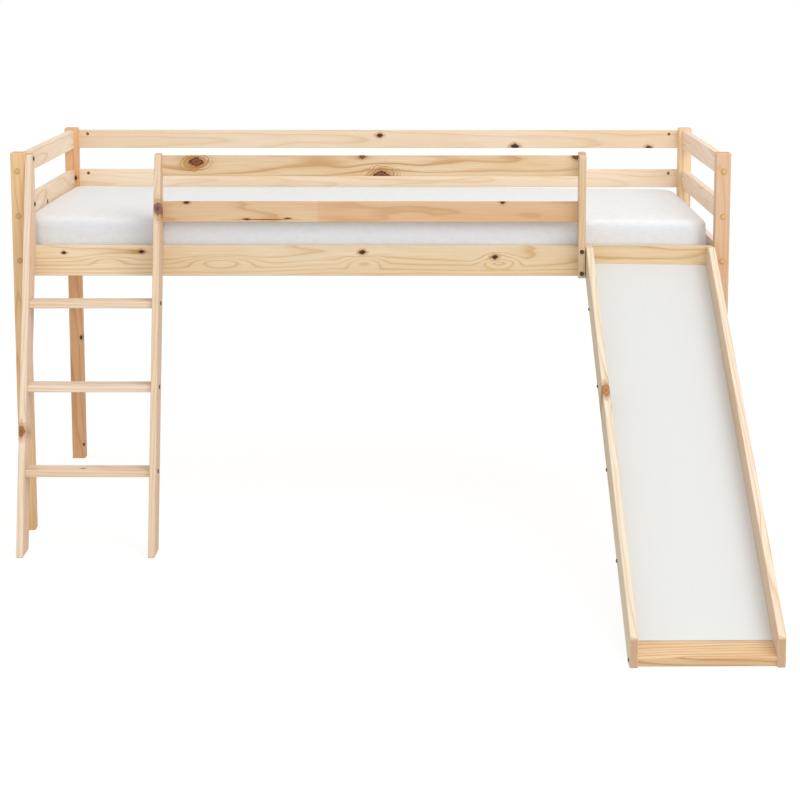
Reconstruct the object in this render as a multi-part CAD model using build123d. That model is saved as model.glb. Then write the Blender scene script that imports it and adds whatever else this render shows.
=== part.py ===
from build123d import *
import math
import os
from dataclasses import dataclass

# Half-high loft bed in pine with a leaning ladder, a guard rail, a slide and a mattress.
# Millimetres. While it is built, X runs right from the left posts' outer faces, Y runs back from
# the front posts' front faces and Z runs up from the floor. The last step moves all pieces so that
# the origin is the bottom centre of the whole bed's box.

# Bed frame
bed_length = 2060.0
bed_depth = 967.0
bed_height = 1110.0
post_width = 42.0
post_depth = 45.0
post_round = 2.5
board = 20.0
board_round = 2.0
contact_gap = 0.2

# Rails: heights of their top edges and their widths
rail_height = 59.0
rail_drop = 8.0
rail_pitch = 129.5
bed_rail_height = 88.5
bed_rail_pitch = 132.5
end_rail_inset = 9.5

# Accessory bores in the back posts
bore_radius = 3.0
bore_depth = 12.0
bore_setback = 12.0
bore_low_height = 43.0
bore_high_height = 408.0

# Slats and the battens that carry them
slat_count = 14
slat_width = 72.0
slat_thickness = 18.0
slat_end_gap = 2.0
slat_round = 1.5
slat_batten_width = 22.0
slat_batten_height = 20.0
slat_batten_rise = 0.5
slat_batten_round = 1.0

# Mattress in its fitted sheet, and its gaps to the end rails and to the bed rails
mattress_height = 133.0
mattress_crown = 4.0
mattress_corner = 55.0
mattress_top_round = 20.0
mattress_bottom_round = 18.0
mattress_left_gap = 3.0
mattress_right_gap = 24.5
mattress_side_gap = 3.5
mattress_side_draw = 4.0
soft_gap = 0.3

# Ladder: the stiles lean against the bed rail and hook over its top edge
ladder_clear_width = 350.0
stile_thickness = 19.0
stile_width = 90.0
stile_lean = 15.5
stile_top_drop = 5.0
stile_top_setback = 6.8
stile_top_round = 8.0
stile_foot_round = 3.0
rung_count = 3
rung_thickness = 20.0
rung_depth = 66.0
rung_first_top = 234.0
rung_last_drop = 145.0
rung_round = 3.0

# Guard rail between the ladder and the slide
guard_top_drop = 10.0
guard_pitch = 133.0
guard_post_thickness = 20.0
guard_post_reach = 20.0
guard_post_round = 20.0

# Slide: its sides run down from the bed rail's front face to the floor
slide_width = 370.0
slide_side_gap = 1.0
slide_end_gap = 0.8
slide_slope = 32.15
slide_swing = 1.1
slide_side_height = 86.0
slide_top_rise = 26.7
slide_end_height = 77.9
slide_front_round = 18.0
slide_edge_round = 2.5
panel_depth = 68.0
panel_thickness = 3.0
panel_groove = 6.0
panel_fit = 0.2
panel_end_setback = 74.0
slide_batten_count = 4
slide_batten_width = 45.0
slide_batten_thickness = 14.5
slide_batten_first = 228.0
slide_batten_last_setback = 263.0
slide_batten_round = 1.0
end_board_width = 87.0
end_board_thickness = 24.0
end_board_tilt = 12.6
end_board_setback = 2.0
end_board_top = 25.0
end_board_round = 3.0
end_screw_setback = 11.0

# Bolts with barrel nuts, and the caps over their heads
bolt_radius = 3.0
bolt_clearance = 0.5
bolt_head_radius = 6.0
bolt_head_height = 3.5
bolt_head_sink = 1.0
bolt_tail = 7.0
socket_width = 4.0
socket_sides = 6
socket_depth = 2.0
thread_clearance = 0.05
nut_radius = 5.0
nut_length = 14.0
nut_setback = 30.0
nut_clearance = 0.2
cap_radius = 7.5
cap_height = 2.5
cap_round = 1.6
cap_plug = 0.8
bolt_shift = 17.0
bed_rail_bolt_shift = 22.0
end_bolt_shift = 15.5
end_low_bolt_rise = 3.0
slide_bolt_drop = 38.0

# Bolts whose round heads stay in sight, and their nuts
round_head_radius = 6.25
round_head_height = 3.0
round_head_dome = 1.5
ladder_bolt_drop = 19.5
ladder_bolt_pitch = 131.0
ladder_bolt_setback = 15.0
sleeve_radius = 4.5
sleeve_length = 22.0
sleeve_head_height = 2.0
guard_bolt_drop = 12.0
guard_bolt_pitch = 63.0
insert_length = 13.0
insert_clearance = 0.1
blind_end = 3.0

# Wood screws
screw_radius = 2.25
screw_clearance = 0.05
screw_head_radius = 4.5
screw_head_height = 2.6
screw_head_dome = 1.2
slide_screw_length = 50.0
rung_screw_length = 60.0
rung_head_radius = 6.0
countersunk_radius = 4.2
countersunk_height = 2.2
slat_screw_length = 34.0
slat_screw_shift = 18.0
batten_screw_length = 32.0
batten_screw_count = 5
batten_screw_end = 120.0

cut_overrun = 5.0

# Places that follow from the sizes above
rail_start = post_width + contact_gap
rail_end = bed_length - post_width - contact_gap
front_rail_back = post_depth
front_rail_face = post_depth - board
back_rail_face = bed_depth - board
back_post_face = bed_depth - post_depth
top_rail_top = bed_height - rail_drop
mid_rail_top = top_rail_top - rail_pitch
bed_rail_top = mid_rail_top - bed_rail_pitch
bed_rail_low = bed_rail_top - bed_rail_height
bed_rail_middle = bed_rail_top - bed_rail_height / 2
front_line = front_rail_back - board / 2
back_line = bed_depth - board / 2
end_line = end_rail_inset + board / 2

RIGHT = Vector(1, 0, 0)
BACK = Vector(0, 1, 0)
UP = Vector(0, 0, 1)
LONG_WAYS = {"x": Axis.X, "y": Axis.Y, "z": Axis.Z}


def plank(low, high, way, radius=board_round):
    """Box between two corners with its four edges along one axis rounded."""
    size = [far - near for near, far in zip(low, high)]
    middle = [(near + far) / 2 for near, far in zip(low, high)]
    solid = Pos(*middle) * Box(*size)
    return fillet(solid.edges().filter_by(LONG_WAYS[way]), radius)


def rod(start, run, length, radius):
    """Cylinder that starts at a point and runs along a unit direction."""
    section = Cylinder(radius, length, align=(Align.CENTER, Align.CENTER, Align.MIN))
    return Plane(origin=start, z_dir=run) * section


def side_plate(points, start, thickness):
    """Plate parallel to the YZ plane from an outline of (y, z) points."""
    outline = Polyline(*[(start, y, z) for y, z in points], close=True)
    return extrude(make_face(outline), thickness, dir=(1, 0, 0))


def near_edges(solid, y, z):
    """The edges along X that lie closest to a point of the YZ plane."""
    edges = solid.edges().filter_by(Axis.X)
    return edges.sort_by(lambda edge: math.hypot(edge.center().Y - y, edge.center().Z - z))[:1]


def socket(centre, run):
    """Hexagon pocket of a bolt head, cut from its outer face."""
    plane = Plane(origin=centre, z_dir=run)
    return extrude(plane * RegularPolygon(socket_width / 2, socket_sides, major_radius=False), socket_depth)


@dataclass
class BarrelBolt:
    """Bolt through one piece into the end of a board, with its barrel nut.

    seat is where the axis meets the holder's outer face, run points into the board, through is
    the holder's thickness and nut_side points from the axis to the face the nut goes in at.
    """

    seat: Vector
    run: Vector
    through: float
    nut_side: Vector

    def head_face(self):
        return self.seat + self.run * bolt_head_sink

    def holder_cut(self):
        depth = bolt_head_sink + bolt_head_height
        start = self.seat - self.run * cut_overrun
        head = rod(start, self.run, depth + cut_overrun, bolt_head_radius + bolt_clearance)
        reach = self.through + 2 * cut_overrun
        return head + rod(start, self.run, reach, bolt_radius + bolt_clearance)

    def nut_centre(self):
        return self.seat + self.run * (self.through + nut_setback)

    def board_cut(self):
        start = self.seat + self.run * (self.through - cut_overrun)
        depth = nut_setback + bolt_tail + 2 * cut_overrun
        shaft = rod(start, self.run, depth, bolt_radius + bolt_clearance)
        bottom = self.nut_centre() - self.nut_side * (nut_length / 2 + nut_clearance)
        reach = nut_length / 2 + nut_clearance + board
        return shaft + rod(bottom, self.nut_side, reach, nut_radius + nut_clearance)

    def bolt(self):
        top = self.head_face()
        length = self.through + nut_setback + bolt_tail - bolt_head_sink
        head = rod(top, self.run, bolt_head_height, bolt_head_radius)
        return head + rod(top, self.run, length, bolt_radius) - socket(top, self.run)

    def nut(self):
        centre = self.nut_centre()
        body = rod(centre - self.nut_side * (nut_length / 2), self.nut_side, nut_length, nut_radius)
        start = centre - self.run * (nut_radius + cut_overrun)
        thread = rod(start, self.run, 2 * (nut_radius + cut_overrun), bolt_radius + thread_clearance)
        return body - thread

    def cap(self):
        dome = rod(self.seat, -self.run, cap_height, cap_radius)
        dome = fillet(far_rim(dome, self.seat), cap_round)
        return dome + rod(self.seat, self.run, cap_plug, bolt_head_radius)


def far_rim(solid, point):
    """The round edge of a short cylinder that lies farthest from a point."""
    rims = solid.edges().filter_by(GeomType.CIRCLE)
    return rims.sort_by(lambda edge: (edge.arc_center - point).length)[-1:]


def round_bolt(seat, run, length, head_radius=round_head_radius):
    """Bolt with a low domed socket head that sits on a face."""
    head = rod(seat, -run, round_head_height, head_radius)
    head = fillet(far_rim(head, seat), round_head_dome)
    head = head - socket(seat - run * round_head_height, run)
    return head + rod(seat, run, length, bolt_radius)


def pan_screw(seat, run, length, head_radius=screw_head_radius):
    """Wood screw with a domed head that sits on a face."""
    head = rod(seat, -run, screw_head_height, head_radius)
    head = fillet(far_rim(head, seat), screw_head_dome)
    return head + rod(seat, run, length, screw_radius)


def flush_screw(seat, run, length):
    """Wood screw whose countersunk head ends flush with a face."""
    cone = Cone(
        countersunk_radius, screw_radius, countersunk_height, align=(Align.CENTER, Align.CENTER, Align.MIN)
    )
    return Plane(origin=seat, z_dir=run) * cone + rod(seat, run, length, screw_radius)


def screw_cut(seat, run, length, countersunk=False):
    """Hole for a wood screw, open at its seat."""
    start = seat - run * cut_overrun
    hole = rod(start, run, length + cut_overrun + screw_clearance, screw_radius + screw_clearance)
    if countersunk:
        grow = 1 + screw_clearance / countersunk_radius
        cone = Cone(
            countersunk_radius * grow,
            screw_radius * grow,
            countersunk_height + screw_clearance,
            align=(Align.CENTER, Align.CENTER, Align.MIN),
        )
        hole = hole + Plane(origin=seat, z_dir=run) * cone
    return hole


def cut_all(solid, cutters):
    """Subtract each cutter from a solid."""
    for cutter in cutters:
        solid = solid - cutter
    return solid


def frame_bolts():
    """All bolts of the frame, by the board that each one holds, with the post it goes through."""
    bolts = {}
    for side in ("left", "right"):
        outer = 0 if side == "left" else bed_length
        inward = RIGHT if side == "left" else -RIGHT
        long_rails = (
            ("back_rail_top", "back", top_rail_top - rail_height / 2 + bolt_shift, back_line, -BACK),
            ("back_rail_mid", "back", mid_rail_top - rail_height / 2 + bolt_shift, back_line, -BACK),
            ("bed_rail_back", "back", bed_rail_middle + bed_rail_bolt_shift, back_line, -BACK),
            ("bed_rail_back", "back", bed_rail_middle - bed_rail_bolt_shift, back_line, -BACK),
            ("bed_rail_front", "front", bed_rail_middle + bed_rail_bolt_shift, front_line, BACK),
            ("bed_rail_front", "front", bed_rail_middle - bed_rail_bolt_shift, front_line, BACK),
        )
        for rail, row, height, line, nut_side in long_rails:
            bolt = BarrelBolt(Vector(outer, line, height), inward, post_width, nut_side)
            bolts.setdefault((rail, f"post_{row}_{side}"), []).append(bolt)
        across = end_line if side == "left" else bed_length - end_line
        end_rails = (
            ("top", top_rail_top - rail_height / 2 - end_bolt_shift),
            ("mid", mid_rail_top - rail_height / 2 - end_bolt_shift),
            ("low", bed_rail_middle + end_low_bolt_rise),
        )
        for level, height in end_rails:
            for row, face, run in (("front", 0, BACK), ("back", bed_depth, -BACK)):
                bolt = BarrelBolt(Vector(across, face, height), run, post_depth, inward)
                bolts.setdefault((f"end_rail_{side}_{level}", f"post_{row}_{side}"), []).append(bolt)
    return bolts


def post(side, row, bolts):
    """One corner post with the holes of its bolts, and a back post's accessory bores."""
    near_x = 0 if side == "left" else bed_length - post_width
    near_y = 0 if row == "front" else back_post_face
    solid = plank(
        (near_x, near_y, 0), (near_x + post_width, near_y + post_depth, bed_height), "z", post_round
    )
    solid = chamfer(solid.faces().sort_by(Axis.Z)[-1].edges(), board_round)
    solid = cut_all(solid, [bolt.holder_cut() for bolt in bolts])
    if row == "back":
        inner = post_width if side == "left" else bed_length - post_width
        outward = RIGHT if side == "left" else -RIGHT
        for height in (bore_low_height, bore_high_height):
            mouth = Vector(inner, near_y + bore_setback, height) + outward * cut_overrun
            solid = solid - rod(mouth, -outward, bore_depth + cut_overrun, bore_radius)
    return solid


def long_rail(name):
    """A rail that runs between two posts at the front or the back."""
    tops = {"back_rail_top": top_rail_top, "back_rail_mid": mid_rail_top}
    top = tops.get(name, bed_rail_top)
    height = rail_height if name in tops else bed_rail_height
    face = front_rail_face if name == "bed_rail_front" else back_rail_face
    return plank((rail_start, face, top - height), (rail_end, face + board, top), "x")


def end_rail(side, level):
    """A rail that runs from front to back between the two posts of one end."""
    tops = {"top": top_rail_top, "mid": mid_rail_top, "low": bed_rail_top}
    height = bed_rail_height if level == "low" else rail_height
    near = end_rail_inset if side == "left" else bed_length - end_rail_inset - board
    low = (near, post_depth + contact_gap, tops[level] - height)
    high = (near + board, back_post_face - contact_gap, tops[level])
    return plank(low, high, "y")


# Slats and battens: the battens hang on the bed rails' inner faces and the slats lie on them
batten_low = bed_rail_low + slat_batten_rise
batten_top = batten_low + slat_batten_height
slat_top = batten_top + slat_thickness
batten_start = rail_start + slat_end_gap
batten_end = rail_end - slat_end_gap


def slat_batten(row):
    """The strip along a bed rail's inner face that carries the slats."""
    near = front_rail_back + contact_gap
    if row == "back":
        near = back_rail_face - contact_gap - slat_batten_width
    low = (batten_start, near, batten_low)
    high = (batten_end, near + slat_batten_width, batten_top)
    return plank(low, high, "x", slat_batten_round)


def batten_screw_places():
    """Seat and direction of each screw that holds a slat batten, by row."""
    span = batten_end - batten_start - 2 * batten_screw_end
    height = (batten_low + batten_top) / 2
    faces = {
        "front": (front_rail_back + contact_gap + slat_batten_width, -BACK),
        "back": (back_rail_face - contact_gap - slat_batten_width, BACK),
    }
    places = []
    for row, (face, run) in faces.items():
        for index in range(batten_screw_count):
            across = batten_start + batten_screw_end + span * index / (batten_screw_count - 1)
            places.append((row, Vector(across, face, height), run))
    return places


def slat_places():
    """The left edge of each slat, evenly spread between the battens' ends."""
    pitch = (batten_end - batten_start - slat_width) / (slat_count - 1)
    return [batten_start + pitch * index for index in range(slat_count)]


def slat(left):
    """One slat across both battens."""
    low = (left, front_rail_back + slat_end_gap, batten_top)
    high = (left + slat_width, back_rail_face - slat_end_gap, slat_top)
    return plank(low, high, "y", slat_round)


def slat_screw_places(left):
    """The seats of the two screws that hold one slat."""
    across = left + slat_width / 2
    front = front_rail_back + contact_gap + slat_batten_width / 2
    back = back_rail_face - contact_gap - slat_batten_width / 2
    return [Vector(across + slat_screw_shift, y, slat_top) for y in (front, back)]


# Mattress: it lies on the slats, closer to the left end, centred between the bed rails
mattress_left = end_rail_inset + board + mattress_left_gap
mattress_right = bed_length - end_rail_inset - board - mattress_right_gap
mattress_length = mattress_right - mattress_left
mattress_width = back_rail_face - front_rail_back - 2 * mattress_side_gap
mattress_middle_y = (front_rail_back + back_rail_face) / 2
mattress_low = slat_top + soft_gap


def mattress():
    """Block with a crowned top, drawn-in sides, round plan corners and soft edges."""
    edge = mattress_width / 2 + cut_overrun
    shoulder = mattress_height - mattress_crown
    crown = Polyline((-edge, shoulder), (-edge, 0), (edge, 0), (edge, shoulder))
    bow = Spline((edge, shoulder), (0, mattress_height), (-edge, shoulder))
    section = make_face(crown + bow)
    block = extrude(Plane.YZ * section, mattress_length + 2 * cut_overrun)
    half = mattress_width / 2
    far = mattress_length
    draw = mattress_side_draw
    sides = [
        Spline((0, -half + draw), (far / 2, -half), (far, -half + draw)),
        Line((far, -half + draw), (far, half - draw)),
        Spline((far, half - draw), (far / 2, half), (0, half - draw)),
        Line((0, half - draw), (0, -half + draw)),
    ]
    plan = make_face(sides[0] + sides[1] + sides[2] + sides[3])
    plan = fillet(plan.vertices(), mattress_corner)
    body = Pos(-cut_overrun, 0, 0) * block & extrude(plan, mattress_height + cut_overrun)
    top = body.faces().sort_by(Axis.Z)[-1]
    body = fillet(top.edges(), mattress_top_round)
    bottom = body.faces().sort_by(Axis.Z)[0]
    body = fillet(bottom.edges(), mattress_bottom_round)
    return Pos(mattress_left, mattress_middle_y, mattress_low) * body


# Ladder: front edge of a stile at a height, and its width measured level
stile_slope = math.tan(math.radians(stile_lean))
stile_level_width = stile_width / math.cos(math.radians(stile_lean))
stile_top = bed_height - stile_top_drop
left_stile_x = post_width + contact_gap
right_stile_x = left_stile_x + stile_thickness + ladder_clear_width + 2 * contact_gap
right_stile_face = right_stile_x + stile_thickness


rung_pitch = (bed_rail_top - rung_last_drop - rung_first_top) / (rung_count - 1)


def stile_front(height):
    """Y of a stile's front edge at a height."""
    return stile_top_setback - (stile_top - height) * stile_slope


def stile(start):
    """One ladder stile, cut level at the foot and notched over the bed rail."""
    rail_face = front_rail_face - contact_gap
    meet = stile_top - (stile_top_setback + stile_level_width - rail_face) / stile_slope
    shoulder = bed_rail_top + contact_gap
    points = [
        (stile_front(0), 0),
        (stile_front(0) + stile_level_width, 0),
        (rail_face, meet),
        (rail_face, shoulder),
        (front_rail_back, shoulder),
        (front_rail_back, stile_top),
        (stile_front(stile_top), stile_top),
    ]
    solid = side_plate(points, start, stile_thickness)
    solid = fillet(near_edges(solid, *points[-1]), stile_top_round)
    solid = fillet(near_edges(solid, *points[0]), stile_foot_round)
    faces = solid.faces().filter_by(Axis.X)
    return fillet([edge for face in faces for edge in face.edges()], board_round)


def rung_tops():
    """Heights of the rungs' top faces, lowest first."""
    return [rung_first_top + rung_pitch * index for index in range(rung_count)]


def rung_middle(top):
    """Y of a rung's middle, in the middle of the stiles' width."""
    return stile_front(top - rung_thickness / 2) + stile_level_width / 2


def rung(top):
    """One flat rung between the stiles."""
    middle = rung_middle(top)
    low = (left_stile_x + stile_thickness + contact_gap, middle - rung_depth / 2, top - rung_thickness)
    high = (right_stile_x - contact_gap, middle + rung_depth / 2, top)
    return plank(low, high, "x", rung_round)


def rung_screw_places():
    """Seat and direction of each rung screw, by stile."""
    places = []
    for top in rung_tops():
        middle = rung_middle(top)
        height = top - rung_thickness / 2
        places.append(("left", Vector(left_stile_x, middle, height), RIGHT))
        places.append(("right", Vector(right_stile_face, middle, height), -RIGHT))
    return places


def ladder_bolt_places():
    """Seats of the bolts that hold the left stile to the front left post."""
    seat_x = left_stile_x + stile_thickness
    seat_y = post_depth - ladder_bolt_setback
    highest = bed_height - ladder_bolt_drop
    return [Vector(seat_x, seat_y, highest - ladder_bolt_pitch * index) for index in (0, 1)]


def sleeve_nut(seat, run, sleeve, head_radius, head_height):
    """Nut with a flat head, bored for a bolt that comes from the other side."""
    body = rod(seat, run, sleeve, sleeve_radius)
    if head_height:
        body = body + rod(seat, run, head_height, head_radius)
    bore = rod(seat + run * head_height, run, sleeve + cut_overrun, bolt_radius + thread_clearance)
    return body - bore


# Guard rail: it ends where the slide begins, and the slide ends near the right posts
slide_right = rail_end - slide_end_gap
slide_left = slide_right - slide_width
guard_start = right_stile_face + contact_gap
guard_post_face = slide_left - slide_side_gap
guard_post_x = guard_post_face - guard_post_thickness
guard_end = guard_post_x - contact_gap
guard_tops = {
    "guard_board_top": bed_height - guard_top_drop,
    "guard_board_mid": bed_height - guard_top_drop - guard_pitch,
}


def guard_post():
    """Upright at the guard rail's right end, notched over the bed rail."""
    rail_face = front_rail_face - contact_gap
    shoulder = bed_rail_top + contact_gap
    points = [
        (-guard_post_reach, bed_rail_low),
        (rail_face, bed_rail_low),
        (rail_face, shoulder),
        (front_rail_back, shoulder),
        (front_rail_back, bed_height),
        (-guard_post_reach, bed_height),
    ]
    solid = side_plate(points, guard_post_x, guard_post_thickness)
    solid = fillet(near_edges(solid, *points[-1]), guard_post_round)
    faces = solid.faces().filter_by(Axis.X)
    return fillet([edge for face in faces for edge in face.edges()], board_round)


def guard_board(name):
    """One board of the guard rail."""
    top = guard_tops[name]
    low = (guard_start, front_rail_face, top - rail_height)
    high = (guard_end, front_rail_back, top)
    return plank(low, high, "x")


def guard_board_bolts():
    """Bolts into the guard boards' ends, by board and by the upright they go through."""
    bolts = {}
    for name, top in guard_tops.items():
        height = top - rail_height / 2
        from_ladder = BarrelBolt(Vector(right_stile_x, front_line, height), RIGHT, stile_thickness, BACK)
        far_seat = Vector(guard_post_face, front_line, height)
        from_post = BarrelBolt(far_seat, -RIGHT, guard_post_thickness, BACK)
        bolts[(name, "ladder_stile_right")] = [from_ladder]
        bolts[(name, "guard_post")] = [from_post]
    return bolts


def guard_bolt_places():
    """Seats of the two bolts through the guard post into the bed rail."""
    across = guard_post_x + guard_post_thickness / 2
    highest = bed_rail_top - guard_bolt_drop
    return [Vector(across, -guard_post_reach, highest - guard_bolt_pitch * index) for index in (0, 1)]


# Slide: distances are taken along its slope from where the top edge's line meets the bed rail's
# front face, and depths square to the slope, down from that line
slope = math.radians(slide_slope)
slide_inner_width = slide_width - 2 * board
line_start_y = front_rail_face
line_start_z = bed_rail_top + slide_top_rise
slide_reach = (line_start_z - slide_end_height) / math.tan(slope)
panel_end_reach = slide_reach - panel_end_setback
slide_pivot = Vector((slide_left + slide_right) / 2, front_rail_face, 0)
trim_reach = slide_width


def slope_point(distance, depth):
    """(y, z) of a point at a distance down the slope and a depth under the top edge's line."""
    y = line_start_y - distance * math.cos(slope) + depth * math.sin(slope)
    z = line_start_z - distance * math.sin(slope) - depth * math.cos(slope)
    return y, z


def slope_height(y, depth):
    """Height of the line that runs at a depth under the top edge, at a place along Y."""
    return line_start_z - depth / math.cos(slope) + (y - line_start_y) * math.tan(slope)


def swing(solid):
    """Turn a slide piece about the upright line at the middle of the slide's top."""
    return solid.rotate(Axis(slide_pivot, UP), slide_swing)


def trim_to_rail(solid):
    """Cut a slide piece flush with the bed rail's front face."""
    size = 2 * (slide_width + trim_reach)
    block = Box(size, trim_reach, size, align=(Align.CENTER, Align.MIN, Align.CENTER))
    return solid - Pos(slide_pivot.X, front_rail_face - contact_gap, bed_rail_middle) * block


def slide_side(start):
    """One side board of the slide before it is swung, with its front end cut upright."""
    foot_y = line_start_y - slide_reach
    front_top = (foot_y, slope_height(foot_y, 0))
    back = line_start_y + cut_overrun
    cut_y = line_start_y - slide_top_rise / math.tan(slope)
    floor_meet = line_start_y - (line_start_z - slide_side_height / math.cos(slope)) / math.tan(slope)
    points = [
        (foot_y, 0),
        (floor_meet, 0),
        (back, slope_height(back, slide_side_height)),
        (back, bed_rail_top),
        (cut_y, bed_rail_top),
        front_top,
    ]
    solid = side_plate(points, start, board)
    solid = fillet(near_edges(solid, *front_top), slide_front_round)
    faces = solid.faces().filter_by(Axis.X)
    return fillet([edge for face in faces for edge in face.edges()], slide_edge_round)


def slope_box(start, width, near, length, depth, thickness):
    """Block on the slope: from near down the slope for length, from depth down for thickness."""
    points = [
        slope_point(near, depth),
        slope_point(near + length, depth),
        slope_point(near + length, depth + thickness),
        slope_point(near, depth + thickness),
    ]
    return side_plate(points, start, width)


panel_length = (panel_end_reach + panel_depth * math.sin(slope)) / math.cos(slope)


def slide_panel():
    """White panel that slides in the grooves of both sides."""
    start = slide_left + board - panel_groove + panel_fit
    width = slide_inner_width + 2 * (panel_groove - panel_fit)
    return slope_box(start, width, -cut_overrun, panel_length + cut_overrun, panel_depth, panel_thickness)


def panel_groove_cut(start):
    """Groove for the panel, stopped just past its lower end."""
    near = -trim_reach
    length = panel_length + trim_reach + panel_fit
    depth = panel_depth - panel_fit
    return slope_box(start, panel_groove, near, length, depth, panel_thickness + 2 * panel_fit)


slide_batten_depth = panel_depth + panel_thickness + panel_fit
slide_batten_last = panel_length - slide_batten_last_setback
slide_batten_pitch = (slide_batten_last - slide_batten_first) / (slide_batten_count - 1)


def slide_batten_nears():
    """Upper edge of each cross batten along the slope."""
    return [
        slide_batten_first + slide_batten_pitch * index - slide_batten_width / 2
        for index in range(slide_batten_count)
    ]


def slide_batten(near):
    """One cross batten under the panel."""
    start = slide_left + board + contact_gap
    width = slide_inner_width - 2 * contact_gap
    solid = slope_box(start, width, near, slide_batten_width, slide_batten_depth, slide_batten_thickness)
    return fillet(solid.edges().filter_by(Axis.X), slide_batten_round)


tilt = math.radians(end_board_tilt)
end_board_front_y = line_start_y - slide_reach + end_board_setback


def end_board_point(back, depth):
    """(y, z) in the end board: back along its top face from the front edge, depth under it."""
    y = end_board_front_y + back * math.cos(tilt) + depth * math.sin(tilt)
    z = end_board_top + back * math.sin(tilt) - depth * math.cos(tilt)
    return y, z


def slide_end_board():
    """Board between the sides at the floor, where the panel ends."""
    points = [
        end_board_point(0, 0),
        end_board_point(end_board_width, 0),
        end_board_point(end_board_width, end_board_thickness),
        end_board_point(0, end_board_thickness),
    ]
    solid = side_plate(points, slide_left + board + contact_gap, slide_inner_width - 2 * contact_gap)
    return fillet(near_edges(solid, *points[0]), end_board_round)


def slide_screw_places():
    """Seat and direction of each slide screw before the swing, by side and by what it holds."""
    places = []
    holds = []
    for index, near in enumerate(slide_batten_nears()):
        middle_depth = slide_batten_depth + slide_batten_thickness / 2
        holds.append((f"slide_batten_{index + 1}", slope_point(near + slide_batten_width / 2, middle_depth)))
    holds.append(("slide_end_board", end_board_point(end_screw_setback, end_board_thickness / 2)))
    for name, (y, z) in holds:
        places.append(("left", name, Vector(slide_left, y, z), RIGHT))
        places.append(("right", name, Vector(slide_right, y, z), -RIGHT))
    return places


def slide_bolts():
    """Bolts through the bed rail into the top ends of the slide's sides."""
    height = bed_rail_top - slide_bolt_drop
    left = Vector(slide_left + board / 2, front_rail_back, height)
    right = Vector(slide_right - board / 2, front_rail_back, height)
    return {
        "slide_side_left": BarrelBolt(left, -BACK, board, -RIGHT),
        "slide_side_right": BarrelBolt(right, -BACK, board, RIGHT),
    }


def build_frame(parts, hardware):
    """Posts, rails, battens and slats with their holes."""
    bolts = frame_bolts()
    for side in ("left", "right"):
        for row in ("front", "back"):
            name = f"post_{row}_{side}"
            own = [bolt for (_, holder), group in bolts.items() if holder == name for bolt in group]
            parts[name] = post(side, row, own)
    long_rails = ("back_rail_top", "back_rail_mid", "bed_rail_back", "bed_rail_front")
    rails = {name: long_rail(name) for name in long_rails}
    for side in ("left", "right"):
        for level in ("top", "mid", "low"):
            rails[f"end_rail_{side}_{level}"] = end_rail(side, level)
    for (rail, _), group in bolts.items():
        rails[rail] = cut_all(rails[rail], [bolt.board_cut() for bolt in group])
        for bolt in group:
            hardware["frame_bolts"].append(bolt.bolt())
            hardware["barrel_nuts"].append(bolt.nut())
            hardware["bolt_caps"].append(bolt.cap())
    parts.update(rails)


def build_slats(parts, hardware):
    """Slat battens and slats with their screws."""
    battens = {row: slat_batten(row) for row in ("front", "back")}
    rails = {"front": "bed_rail_front", "back": "bed_rail_back"}
    for row, seat, run in batten_screw_places():
        cutter = screw_cut(seat, run, batten_screw_length, countersunk=True)
        battens[row] = battens[row] - cutter
        parts[rails[row]] = parts[rails[row]] - cutter
        hardware["batten_screws"].append(flush_screw(seat, run, batten_screw_length))
    for index, left in enumerate(slat_places()):
        solid = slat(left)
        for row, seat in zip(("front", "back"), slat_screw_places(left)):
            cutter = screw_cut(seat, -UP, slat_screw_length, countersunk=True)
            solid = solid - cutter
            battens[row] = battens[row] - cutter
            hardware["slat_screws"].append(flush_screw(seat, -UP, slat_screw_length))
        parts[f"slat_{index + 1:02d}"] = solid
    for row, solid in battens.items():
        parts[f"slat_batten_{row}"] = solid


def build_ladder(parts, hardware):
    """Stiles and rungs with their bolts and screws."""
    parts["ladder_stile_left"] = stile(left_stile_x)
    parts["ladder_stile_right"] = stile(right_stile_x)
    for index, top in enumerate(rung_tops()):
        parts[f"ladder_rung_{index + 1}"] = rung(top)
    for index, (side, seat, run) in enumerate(rung_screw_places()):
        cutter = screw_cut(seat, run, rung_screw_length)
        for name in (f"ladder_stile_{side}", f"ladder_rung_{index // 2 + 1}"):
            parts[name] = parts[name] - cutter
        hardware["rung_screws"].append(pan_screw(seat, run, rung_screw_length, rung_head_radius))
    through = stile_thickness + contact_gap + post_width
    for seat in ladder_bolt_places():
        far_face = Vector(0, seat.Y, seat.Z)
        reach = through + 2 * cut_overrun
        bore = rod(seat + RIGHT * cut_overrun, -RIGHT, reach, bolt_radius + bolt_clearance)
        sleeve_hole = rod(far_face, RIGHT, sleeve_length + nut_clearance, sleeve_radius + nut_clearance)
        head_hole = rod(far_face, RIGHT, sleeve_head_height, round_head_radius + nut_clearance)
        parts["ladder_stile_left"] = parts["ladder_stile_left"] - bore
        parts["post_front_left"] = parts["post_front_left"] - bore - sleeve_hole - head_hole
        bolt_length = through - sleeve_head_height - blind_end
        hardware["ladder_bolts"].append(round_bolt(seat, -RIGHT, bolt_length))
        nut = sleeve_nut(far_face, RIGHT, sleeve_length, round_head_radius, sleeve_head_height)
        hardware["ladder_nuts"].append(nut)


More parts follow.
